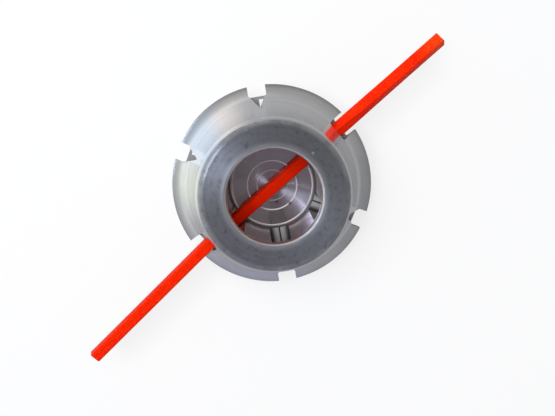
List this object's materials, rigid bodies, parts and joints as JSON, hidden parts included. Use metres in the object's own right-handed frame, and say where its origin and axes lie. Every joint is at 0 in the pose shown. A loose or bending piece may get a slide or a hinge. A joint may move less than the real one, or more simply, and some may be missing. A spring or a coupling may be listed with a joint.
{
  "type": "fixed-line trimmer head",
  "caption": "Turned aluminium bell-shaped trimmer head with an open ring end, slots in its flared brim, and a cut length of square nylon line through it.",
  "frame": {"origin": "centre of the arbor hole at the hub's flat back face, which it stands on", "axes": "+Z along the head's axis from the hub's back face to the open ring; +X along the line, towards its shorter tail"},
  "size_m": [0.1523, 0.064, 0.0365],
  "materials": {
    "aluminium": "turned satin",
    "nylon": "smooth extruded nylon"
  },
  "bodies": {
    "root": {"head_body": "aluminium", "trimmer_line": "nylon"}
  },
  "joints": []
}
